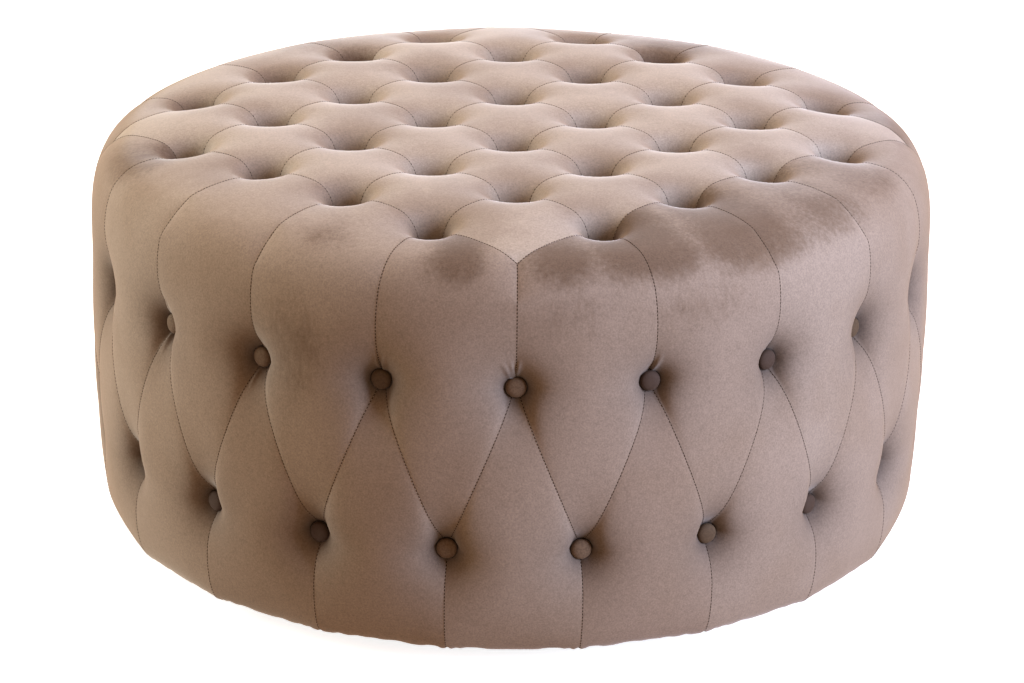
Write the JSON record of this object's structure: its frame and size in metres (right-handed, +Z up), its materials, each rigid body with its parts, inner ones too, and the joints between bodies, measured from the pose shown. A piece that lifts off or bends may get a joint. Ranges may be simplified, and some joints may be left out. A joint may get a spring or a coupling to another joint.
{
  "type": "tufted drum ottoman",
  "caption": "Round drum ottoman in deep-buttoned velvet, with a diamond-tufted top, a panelled side and low recessed feet.",
  "frame": {"origin": "on the floor under the middle of the drum", "axes": "+Z up; -Y is the front, where one corner of the square of diamonds on the top meets the side, and +X is to the right as seen from the front"},
  "size_m": [0.9, 0.9, 0.45],
  "materials": {
    "velvet": "matte",
    "button_velvet": "matte",
    "foam": "matte",
    "plywood": "matte",
    "timber": "matte",
    "black_cloth": "matte",
    "black_plastic": "satin",
    "steel": "satin"
  },
  "bodies": {
    "root": {"base_board": "plywood", "top_board": "plywood", "post_1": "timber", "post_2": "timber", "post_3": "timber", "post_4": "timber", "post_5": "timber", "post_6": "timber", "post_7": "timber", "post_8": "timber", "wall_panel_1": "plywood", "wall_panel_2": "plywood", "wall_panel_3": "plywood", "wall_panel_4": "plywood", "top_foam": "foam", "side_foam": "foam", "velvet_top": "velvet", "velvet_side_panel_01": "velvet", "velvet_side_panel_02": "velvet", "velvet_side_panel_03": "velvet", "velvet_side_panel_04": "velvet", "velvet_side_panel_05": "velvet", "velvet_side_panel_06": "velvet", "velvet_side_panel_07": "velvet", "velvet_side_panel_08": "velvet", "velvet_side_panel_09": "velvet", "velvet_side_panel_10": "velvet", "velvet_side_panel_11": "velvet", "velvet_side_panel_12": "velvet", "velvet_side_panel_13": "velvet", "velvet_side_panel_14": "velvet", "velvet_side_panel_15": "velvet", "velvet_side_panel_16": "velvet", "velvet_side_panel_17": "velvet", "velvet_side_panel_18": "velvet", "velvet_side_panel_19": "velvet", "velvet_side_panel_20": "velvet", "top_buttons": "button_velvet", "upper_side_buttons": "button_velvet", "lower_side_buttons": "button_velvet", "dust_cover": "black_cloth", "foot_1": "black_plastic", "foot_2": "black_plastic", "foot_3": "black_plastic", "foot_4": "black_plastic", "foot_5": "black_plastic", "foot_6": "black_plastic", "foot_screw_1": "steel", "foot_screw_2": "steel", "foot_screw_3": "steel", "foot_screw_4": "steel", "foot_screw_5": "steel", "foot_screw_6": "steel"}
  },
  "joints": []
}
